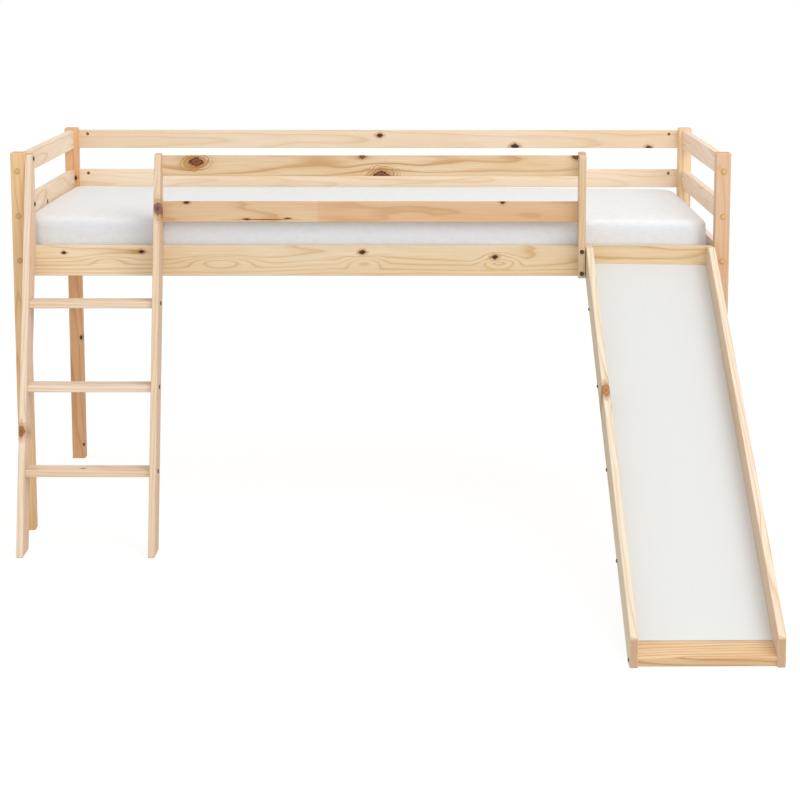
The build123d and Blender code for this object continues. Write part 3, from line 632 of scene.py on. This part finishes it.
@dataclass(frozen=True)
class MouldedCap:
    """Beige polyethylene cap.

    Injection moulded with a fine spark-eroded grain: soft, broad highlights and a waxy body, with
    painted shade that darkens it towards the rim of the dome, where the cap meets its post.
    """

    name: str = "beige_cap"
    beige: str = "#DFB878"
    worn: str = "#D0A462"
    # Colour of the painted shade round the dome's rim: the cap's contact shadow on its post.
    rim: str = "#7E5A32"
    dome: float = 0.0045

    def outward(self, tree: Tree, coords: Socket) -> Node:
        """Tells how squarely the surface faces away from its post.

        Args:
            tree: The material's nodes.
            coords: Object coordinates.

        Returns:
            A node that is 1 on the dome's top and falls towards its rim.
        """
        # Caps sit on the posts' outer side faces, and on their front and back faces.
        low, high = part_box("bolt_caps")
        centre, half = (low + high) / 2, (high - low) / 2
        place = add(tree, "VectorMath SUBTRACT", {1: tuple(centre)}, {0: coords})
        beside = add(tree, "VectorMath ABSOLUTE", {}, {0: place})
        parts = add(tree, "SeparateXYZ", links={0: beside})
        at_side = add(tree, "Math GREATER_THAN", {1: half.x - self.dome}, {0: parts})
        normal = add(tree, "TexCoord").outputs["Normal"]
        facing = add(tree, "VectorMath ABSOLUTE", {}, {0: normal})
        faces = add(tree, "SeparateXYZ", links={0: facing})
        return add(tree, "Mix", links={0: at_side, 2: faces.outputs[1], 3: faces.outputs[0]})

    def material(self) -> bpy.types.Material:
        """Builds the material.

        Returns:
            The finish with all its nodes.
        """
        made, tree, shader = start_material(self.name)
        coords = add(tree, "TexCoord").outputs["Object"]
        cloud = add(tree, "TexNoise", {"Scale": 60.0, "Detail": 2.0}, {"Vector": coords})
        body = add(tree, "MixRGB", {1: linear(self.beige), 2: linear(self.worn)}, {0: cloud})
        outward = self.outward(tree, coords)
        # Painted shade: where the dome turns away from facing outward, its rim is darkened as the
        # cap's contact shadow.
        rim = add(tree, "MapRange", {1: 0.5, 2: 0.88, 3: 1.0, 4: 0.0}, {0: outward})
        tint = add(tree, "MixRGB", {2: linear(self.rim)}, {0: rim, 1: body})
        # The mould's grain is about 0.1 mm; it is drawn at 1 mm.
        grain = add(tree, "TexNoise", {"Scale": 1000.0, "Detail": 1.0}, {"Vector": coords})
        bump = add(tree, "Bump", {"Strength": 0.15, "Distance": 0.0002}, {"Height": grain})
        feed(
            shader,
            {"Roughness": 0.42, "Subsurface Weight": 0.08, "Subsurface Scale": 0.002},
            {"Base Color": tint, "Normal": bump},
        )
        return made


@dataclass(frozen=True)
class PlatedSteel:
    """Steel of bolts, screws and nuts with a thin plating.

    Yellow passivated zinc is a dull brownish straw with a soft spangle; bronze plating is dark
    brown and rubbed brighter on its high edges; black nickel is darker and shinier than both.
    """

    name: str
    body: str
    rubbed: str
    roughness: tuple[float, float]

    def material(self) -> bpy.types.Material:
        """Builds the material.

        Returns:
            The finish with all its nodes.
        """
        made, tree, shader = start_material(self.name)
        coords = add(tree, "TexCoord").outputs["Object"]
        # Plating spangle is about 0.3 mm; it is drawn at 2 mm.
        spangle = add(tree, "TexNoise", {"Scale": 480.0, "Detail": 3.0}, {"Vector": coords})
        part = add(tree, "MapRange", {1: 0.42, 2: 0.66}, {0: spangle})
        tint = add(tree, "MixRGB", {1: linear(self.body), 2: linear(self.rubbed)}, {0: part})
        dull, bright = self.roughness
        rough = add(tree, "MapRange", {3: dull, 4: bright}, {0: spangle})
        bump = add(tree, "Bump", {"Strength": 0.1, "Distance": 0.0002}, {"Height": spangle})
        feed(shader, {"Metallic": 1.0}, {"Base Color": tint, "Roughness": rough, "Normal": bump})
        return made


def dress(node_name: str, material: bpy.types.Material) -> None:
    """Gives a CAD node its finish.

    Args:
        node_name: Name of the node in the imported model.
        material: The finish.
    """
    mesh_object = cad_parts[node_name]
    mesh_object.data.materials.clear()
    mesh_object.data.materials.append(material)
    log.info("dressed %s with %s", node_name, material.name)


def bed_point(place: Point) -> Vector:
    """Turns a place counted as the bed is built into the shared frame.

    Args:
        place: Metres from the left posts' outer faces, the front posts' front faces and the floor.

    Returns:
        The same place in the shared frame.
    """
    low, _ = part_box("post_front_left")
    return Vector((low.x, low.y, 0.0)) + Vector(place)


def middle(node_name: str) -> Point:
    """Gives the middle of a CAD node's box."""
    low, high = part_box(node_name)
    return tuple((low + high) / 2)


def past(value: float, start: float, span: float) -> float:
    """Gives 0 before the start, and from there a rise that is 1 after the span."""
    return max(0.0, (value - start) / span)


@dataclass
class Boards:
    """A set of pine boards that lie the same way, each sawn from another place in the log."""

    nodes: tuple[str, ...]
    seed: int
    look: PlanedPine
    knots: dict[str, tuple[Knot, ...]] = field(default_factory=dict)

    def build(self) -> None:
        """Dresses each board with its own piece of pine."""
        for index, name in enumerate(self.nodes):
            chance = random.Random(self.seed * 100 + index)
            finish = replace(
                self.look,
                name="pine_" + name,
                centre=middle(name),
                ring=self.look.ring * chance.uniform(0.85, 1.2),
                pith=(chance.uniform(-0.03, 0.03), -chance.uniform(0.03, 0.075)),
                seed=chance.uniform(0, 9),
                wild=0.0001 if name in self.knots else self.look.wild,
                knots=self.knots.get(name, ()),
            )
            dress(name, finish.material())


@dataclass
class Hardware:
    """Bolts, nuts, screws and caps, and their finishes."""

    dark: tuple[str, ...] = ("ladder_bolts", "rung_screws", "slide_screws")
    zinc: tuple[str, ...] = (
        "frame_bolts", "barrel_nuts", "ladder_nuts", "guard_board_bolts", "slide_bolts",
        "slat_screws", "batten_screws",
    )
    bronze_plating: PlatedSteel = PlatedSteel("bronze_plating", "#2B211A", "#7A6650", (0.25, 0.45))
    black_nickel: PlatedSteel = PlatedSteel("black_nickel", "#1A1512", "#75695E", (0.12, 0.26))
    zinc_plating: PlatedSteel = PlatedSteel(
        "yellow_zinc_plating", "#5E5040", "#A08D6C", (0.36, 0.55)
    )

    def build(self) -> None:
        """Dresses the metal and plastic fittings."""
        bronze = self.bronze_plating.material()
        for name in self.dark:
            dress(name, bronze)
        dress("guard_bolts", self.black_nickel.material())
        zinc = self.zinc_plating.material()
        for name in self.zinc:
            dress(name, zinc)
        dress("bolt_caps", MouldedCap().material())


@dataclass
class Mattress:
    """Foam mattress in a white fitted sheet, made as a soft closed form in the solid's place."""

    edge_round: float = 0.018
    corner_round: float = 0.059
    inset: float = 0.004
    crown: float = 0.004
    sunk_end: float = 0.009
    voxel: float = 0.014
    swell: float = 0.006
    pressure: float = 4.0
    frames: int = 20
    pucker: float = 0.0014
    pressed_length: float = 0.16
    pressed_out: float = 0.010
    pressed_up: float = 0.005
    corner_centre: float = 0.1
    gathers: int = 26
    side_start: float = 0.97
    side_pull: float = 0.35
    top_room: float = 0.002

    def block(self) -> bpy.types.Object:
        """Makes the foam block with round plan corners and soft rims.

        Returns:
            A mesh object at the origin, with its place in its mesh.
        """
        low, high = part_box("mattress")
        size = high - low - Vector((2, 2, 1.2)) * self.inset
        shape = bmesh.new()
        bmesh.ops.create_cube(shape, size=1.0)
        bmesh.ops.scale(shape, vec=size, verts=shape.verts)
        uprights = [e for e in shape.edges if abs(e.verts[0].co.z - e.verts[1].co.z) > size.z / 2]
        bmesh.ops.bevel(
            shape, geom=uprights, offset=self.corner_round, offset_type="OFFSET", segments=8,
            profile=0.5, affect="EDGES", material=-1,
        )
        rims = [e for e in shape.edges if abs(e.verts[0].co.z - e.verts[1].co.z) < size.z / 100]
        bmesh.ops.bevel(
            shape, geom=rims, offset=self.edge_round, offset_type="OFFSET", segments=6,
            profile=0.5, affect="EDGES", material=-1,
        )
        bmesh.ops.translate(shape, vec=(low + high) / 2, verts=shape.verts)
        bmesh.ops.recalc_face_normals(shape, faces=shape.faces)
        mesh = bpy.data.meshes.new("mattress_sheet")
        shape.to_mesh(mesh)
        shape.free()
        made = bpy.data.objects.new("mattress_sheet", mesh)
        bpy.context.scene.collection.objects.link(made)
        return made

    def remesh(self, piece: bpy.types.Object) -> None:
        """Gives the block an even net of small faces, and lets its rims and one end sink a little.

        Args:
            piece: The mattress.
        """
        net = piece.modifiers.new("net", "REMESH")
        net.mode = "VOXEL"
        net.voxel_size = self.voxel
        self.bake(piece)
        low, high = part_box("mattress")
        for vert in piece.data.vertices:
            along = (vert.co.x - low.x) / (high.x - low.x)
            across = 2 * (vert.co.y - low.y) / (high.y - low.y) - 1
            rise = past((vert.co.z - low.z) / (high.z - low.z), 0.3, 0.7)
            sunk = self.crown * across**2 + self.sunk_end * past(along, 0.5, 0.5) ** 1.5
            vert.co.z -= sunk * rise

    def bake(self, piece: bpy.types.Object) -> None:
        """Puts what the piece's modifiers make of it into its mesh, and takes them off.

        Args:
            piece: The mattress.
        """
        depsgraph = bpy.context.evaluated_depsgraph_get()
        baked = bpy.data.meshes.new_from_object(piece.evaluated_get(depsgraph))
        old = piece.data
        piece.modifiers.clear()
        piece.data = baked
        baked.name = old.name + "_baked"
        bpy.data.meshes.remove(old)

    def fill(self, piece: bpy.types.Object) -> None:
        """Fills the sheet with the foam's pressure as cloth, and caps how far a point moves.

        Args:
            piece: The mattress.
        """
        start = [vert.co.copy() for vert in piece.data.vertices]
        cloth = piece.modifiers.new("cloth", "CLOTH")
        cloth.settings.quality = 6
        cloth.settings.mass = 0.3
        cloth.settings.tension_stiffness = 25
        cloth.settings.compression_stiffness = 25
        cloth.settings.bending_stiffness = 1.2
        cloth.settings.use_pressure = True
        cloth.settings.uniform_pressure_force = self.pressure
        cloth.settings.effector_weights.gravity = 0
        cloth.point_cache.frame_start = 1
        cloth.point_cache.frame_end = self.frames
        scene = bpy.context.scene
        for number in range(1, self.frames + 1):
            scene.frame_set(number)
        self.bake(piece)
        scene.frame_set(1)
        for vert, old in zip(piece.data.vertices, start):
            step = vert.co - old
            if step.length > self.swell:
                vert.co = old + step * (self.swell / step.length)

    def settle(self, piece: bpy.types.Object) -> None:
        """Fills the mattress's place again, presses one end to the rails and gathers the corners.

        Args:
            piece: The mattress.
        """
        low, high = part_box("mattress")
        centre = (low + high) / 2
        half = (high - low) / 2
        spread = [
            max(abs((vert.co - centre)[axis]) for vert in piece.data.vertices) for axis in (0, 1)
        ]
        for vert in piece.data.vertices:
            place = vert.co
            place.x = centre.x + (place.x - centre.x) * half.x / spread[0]
            place.y = centre.y + (place.y - centre.y) * half.y / spread[1]
            pressed = max(0.0, 1 - (place.x - low.x) / self.pressed_length)
            place.x -= self.pressed_out * pressed
            place.z += self.pressed_up * pressed * max(0.0, (place.z - centre.z) / half.z)
            out = place - centre
            across = out.x / half.x, out.y / half.y
            rise = (place.z - low.z) / (high.z - low.z)
            corner = past(abs(across[0]), 0.86, 0.14) * past(abs(across[1]), 0.7, 0.3)
            around = math.atan2(
                out.y - math.copysign(half.y - self.corner_centre, across[1]),
                out.x - math.copysign(half.x - self.corner_centre, across[0]),
            )
            gather = math.sin(around * self.gathers) * corner * self.pucker * (1.15 - rise)
            # Two waves along the side, of 17 and 57 cm, that together don't repeat in sight.
            pull = self.side_pull * self.pucker * math.sin(place.x * 37)
            pull *= math.sin(place.x * 11 + 1)
            pull *= 1 - abs(2 * rise - 1)
            place += Vector((math.cos(around), math.sin(around), 0)) * gather
            if abs(across[1]) > self.side_start:
                place.y += math.copysign(pull, across[1])
            place.x = min(max(place.x, low.x), high.x)
            place.y = min(max(place.y, low.y), high.y)
            place.z = min(max(place.z, low.z), high.z + self.top_room)

    def build(self) -> None:
        """Makes the mattress in its sheet and lets it ride on the bedding."""
        piece = self.block()
        self.remesh(piece)
        self.fill(piece)
        self.settle(piece)
        smooth = piece.modifiers.new("smooth", "SUBSURF")
        smooth.levels = 1
        smooth.render_levels = 1
        self.bake(piece)
        for face in piece.data.polygons:
            face.use_smooth = True
        piece.data.materials.clear()
        piece.data.materials.append(KnittedCotton().material())
        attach(piece, "bedding")
        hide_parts("mattress")
        log.info("made %s with %d faces", piece.name, len(piece.data.polygons))


@dataclass(frozen=True)
class Lamp:
    """A soft square lamp: where it hangs, the point it faces, its side and its power in watts."""

    name: str
    place: Point
    target: Point
    size: float
    power: float

    def build(self) -> None:
        """Hangs the lamp."""
        light = bpy.data.lights.new(self.name, "AREA")
        light.shape = "SQUARE"
        light.size = self.size
        light.energy = self.power
        held = bpy.data.objects.new(self.name, light)
        held.location = self.place
        toward = Vector(self.target) - Vector(self.place)
        held.rotation_euler = toward.to_track_quat("-Z", "Y").to_euler()
        bpy.context.scene.collection.objects.link(held)


@dataclass
class Studio:
    """Pale floor, soft lamps and the camera at the photograph's place."""

    place: Point = (1.19345, -6.0676, 1.64269)
    pitch: float = math.radians(8.86)
    turn: float = 0.0052
    lens: float = 95.83
    shift: tuple[float, float] = (-0.0207, -0.13)
    sky: float = 0.79
    lamps: tuple[Lamp, ...] = (
        Lamp("key", (2.9, -3.0, 5.0), (0.0, 0.0, 0.6), 4.2, 148.0),
        Lamp("fill", (0.0, -7.2, 2.0), (0.0, 0.0, 0.8), 2.5, 30.0),
    )
    floor_size: float = 20.0
    floor_light: str = "#E2E0DC"
    floor_shadow: str = "#7C7C7C"
    floor_glow: float = 0.86

    def camera(self) -> None:
        """Places the camera."""
        made = bpy.data.cameras.new("camera")
        made.lens = self.lens
        made.sensor_width = 36.0
        made.shift_x, made.shift_y = self.shift
        made.clip_end = 60.0
        held = bpy.data.objects.new("camera", made)
        held.location = bed_point(self.place)
        held.rotation_euler = (math.pi / 2 - self.pitch, 0.0, self.turn)
        bpy.context.scene.collection.objects.link(held)
        bpy.context.scene.camera = held

    def meets(self, tree: Tree, *rays: str) -> Socket:
        """Picks out kinds of ray.

        Args:
            tree: Node tree that gets the nodes.
            rays: Names of Light Path's outputs.

        Returns:
            A socket that is 1 for these rays and 0 for others.
        """
        path = add(tree, "LightPath")
        met = path.outputs[rays[0]]
        for ray in rays[1:]:
            met = add(tree, "Math MAXIMUM", {}, {0: met, 1: path.outputs[ray]}).outputs[0]
        return met

    def floor(self) -> None:
        """Lays the floor, white to the eye and pale to the light, with soft shadows on it."""
        shape = bmesh.new()
        bmesh.ops.create_grid(shape, x_segments=1, y_segments=1, size=self.floor_size)
        mesh = bpy.data.meshes.new("floor")
        shape.to_mesh(mesh)
        shape.free()
        made = bpy.data.objects.new("floor", mesh)
        bpy.context.scene.collection.objects.link(made)
        material = bpy.data.materials.new("studio_floor")
        material.use_nodes = True
        tree = material.node_tree
        tree.nodes.clear()
        paint = add(tree, "BsdfDiffuse", {"Color": linear(self.floor_light)})
        seen = add(tree, "BsdfDiffuse", {"Color": linear(self.floor_shadow)})
        glow = add(tree, "Emission", {"Color": WHITE, "Strength": self.floor_glow})
        white = add(tree, "AddShader", links={0: seen, 1: glow})
        eye = self.meets(tree, "Is Camera Ray", "Is Glossy Ray")
        both = add(tree, "MixShader", links={0: eye, 1: paint, 2: white})
        add(tree, "OutputMaterial", links={"Surface": both})
        mesh.materials.append(material)

    def sky_light(self) -> None:
        """Lights the room evenly and shows white behind the bed."""
        world = bpy.data.worlds.new("studio")
        bpy.context.scene.world = world
        world.use_nodes = True
        tree = world.node_tree
        tree.nodes.clear()
        light = add(tree, "Background", {"Color": WHITE, "Strength": self.sky})
        white = add(tree, "Background", {"Color": WHITE, "Strength": 1.0})
        eye = self.meets(tree, "Is Camera Ray", "Is Glossy Ray", "Is Transmission Ray")
        both = add(tree, "MixShader", links={0: eye, 1: light, 2: white})
        add(tree, "OutputWorld", links={"Surface": both})

    def build(self) -> None:
        """Sets up camera, floor and light."""
        self.camera()
        self.floor()
        self.sky_light()
        for lamp in self.lamps:
            lamp.build()
        bpy.context.scene.view_settings.view_transform = "Standard"
        log.info("studio is ready")


def boards() -> list[Boards]:
    """Lists the pine boards with the knots that show on them.

    Returns:
        The sets of boards, in the order in which they are dressed.
    """
    front = 0.025
    back = 0.947
    post = back - 0.025
    up = (0.0, 0.0, 1.0)
    sideways = (1.0, 0.0, 0.0)
    return [
        Boards(
            ("post_front_left",), 2,
            PlanedPine(Way.UPRIGHT, "#FAD8AA", "#D2A570", "#EDC28E", wild=0.04),
        ),
        Boards(
            ("post_front_right",), 3,
            PlanedPine(Way.UPRIGHT, "#E8C9AA", "#CD9F74", "#DEB693", wild=0.04),
        ),
        Boards(
            ("post_back_left",), 4,
            PlanedPine(Way.UPRIGHT, "#FCCD9E", "#C58E60", "#E8B281"),
            {"post_back_left": (
                Knot((0.0385, post, 0.412), 0.0035), Knot((0.0385, post, 0.048), 0.0025),
                Knot((0.034, post, 0.946), 0.004),
            )},
        ),
        Boards(
            ("post_back_right",), 5,
            PlanedPine(Way.UPRIGHT, "#FCE4BD", "#DCAD7B", "#F5CEA3", wild=0.05),
        ),
        Boards(
            ("back_rail_top",), 6,
            PlanedPine(Way.ALONG_BED, "#F1DFC7", "#DDBD93", "#EAD2B3"),
            {"back_rail_top": (
                Knot((1.035, back, 1.085), 0.0057), Knot((1.481, back, 1.049), 0.0073),
                Knot((1.922, back, 1.045), 0.0058),
            )},
        ),
        Boards(
            ("back_rail_mid", "bed_rail_back"), 7,
            PlanedPine(Way.ALONG_BED, "#F9E9D3", "#E6C7A4", "#F3DCBF", wild=0.1),
        ),
        Boards(
            ("bed_rail_front",), 8,
            PlanedPine(
                Way.ALONG_BED, "#FCEDD0", "#CAA066", "#F4DBB5", ring=0.0095,
                # Painted light: the rail keeps its paler tone up to the right ladder stile, lifting
                # the shade that the stiles cast on it, and is darker past it.
                joint_and_painted_light=(0.425, "#CEAB7D"),
                eyes=(
                    Eye((0.597, front, 0.791), 0.25, 0.048),
                    Eye((1.01, front, 0.790), 0.14, 0.044, 0.027),
                    Eye((1.399, front, 0.793), 0.14, 0.05),
                    Eye((0.27, front, 0.797), 0.17, 0.034, 0.02),
                ),
            ),
            {"bed_rail_front": (
                Knot((0.143, front, 0.819), 0.0037), Knot((0.368, front, 0.822), 0.0046),
                Knot((1.005, front, 0.821), 0.0055), Knot((1.388, front, 0.807), 0.0055),
            )},
        ),
        Boards(
            ("end_rail_left_top", "end_rail_left_mid", "end_rail_left_low"), 9,
            PlanedPine(Way.ACROSS_BED, "#F7E9D4", "#DDB991", "#EDD5B8", wild=0.1),
            {"end_rail_left_mid": (Knot((0.0295, 0.416, 0.925), 0.005, sideways),)},
        ),
        Boards(
            ("end_rail_right_top", "end_rail_right_mid", "end_rail_right_low"), 29,
            PlanedPine(Way.ACROSS_BED, "#FCEDDA", "#E6BB93", "#F6DAC2", wild=0.1),
        ),
        Boards(("slat_batten_front", "slat_batten_back"), 10, PlanedPine(Way.ALONG_BED_FLAT)),
        Boards(
            tuple(f"slat_{i:02d}" for i in range(1, 15)), 11, PlanedPine(Way.ACROSS_BED_FLAT)
        ),
        Boards(
            ("ladder_stile_left",), 12,
            PlanedPine(
                Way.LEANING, "#E8CEB9", "#DAB693", "#E4C3A7", painted_lit_edge="#F8EAD1",
                core="#8A5836", heart="#B07C52", rim="#7E4F30",
            ),
            {"ladder_stile_left": (Knot((0.0485, -0.205, 0.342), 0.0092),)},
        ),
        Boards(
            ("ladder_stile_right",), 13,
            PlanedPine(
                Way.LEANING, "#DEC3AC", "#D2AD8A", "#DABA9D", painted_lit_edge="#F2DBBE",
                core="#6E463A", heart="#946A58", rim="#805646",
            ),
            {"ladder_stile_right": (Knot((0.424, -0.035, 0.954), 0.0108),)},
        ),
        Boards(
            ("ladder_rung_1", "ladder_rung_2", "ladder_rung_3"), 14,
            PlanedPine(Way.ALONG_BED_FLAT, "#F5E5D3", "#D9B387", "#ECD1B3", wild=0.08),
            {"ladder_rung_1": (Knot((0.221, -0.2, 0.234), 0.0035, up),)},
        ),
        Boards(
            ("guard_board_top",), 15,
            PlanedPine(
                Way.ALONG_BED, "#F0DABA", "#C0905B", "#E5C89E", ring=0.0125,
                core="#74432A", heart="#955A38", rim="#3A2114",
            ),
            {"guard_board_top": (
                Knot((0.53, front, 1.082), 0.0112), Knot((1.006, front, 1.0965), 0.005),
                Knot((1.061, front, 1.042), 0.0125), Knot((1.618, front, 1.096), 0.006),
            )},
        ),
        Boards(
            ("guard_board_mid",), 16,
            PlanedPine(
                Way.ALONG_BED, "#E8CEAA", "#C99B6B", "#DFBA91", joint_and_painted_light=(0.874, "#DCA67A")
            ),
            {"guard_board_mid": (
                Knot((0.499, front, 0.9655), 0.0045), Knot((1.409, front, 0.9655), 0.004),
                Knot((0.672, front, 0.9165), 0.0022, stretch=2.5),
                Knot((0.725, front, 0.9155), 0.0009, stretch=42),
                Knot((0.79, front, 0.919), 0.0018, stretch=3),
            )},
        ),
        Boards(
            ("guard_post",), 17,
            PlanedPine(Way.UPRIGHT_EDGE_ON, "#E9D6B9", "#C9A06E", "#DCBE98", wild=0.04),
        ),
        Boards(
            ("slide_side_left",), 18,
            PlanedPine(
                Way.DOWN_SLIDE, "#DED7C8", "#D2B48D", "#D9C8AF", painted_lit_edge="#F2E5CF",
                core="#A86E42", heart="#C08A5A", rim="#A06A40",
            ),
            {"slide_side_left": (Knot((1.667, -0.52, 0.525), 0.0115, up),)},
        ),
        Boards(
            ("slide_side_right",), 19,
            PlanedPine(
                Way.DOWN_SLIDE, "#E2D0BB", "#CFA97E", "#DBC0A2", painted_lit_edge="#F8E7D1", wild=0.04
            ),
        ),
        Boards(
            ("slide_end_board", *(f"slide_batten_{i}" for i in range(1, 5))), 20,
            PlanedPine(Way.ACROSS_SLIDE, "#F0D6B0", "#B67F47", "#E4BC8C", wild=0.04),
        ),
    ]


def main() -> None:
    """Builds the studio and dresses the bed, piece by piece."""
    logging.basicConfig(level=logging.INFO, format="%(message)s")
    Studio().build()
    for group in boards():
        group.build()
    Hardware().build()
    dress("slide_panel", WhiteLaminate().material())
    Mattress().build()


if __name__ == "__main__":
    main()
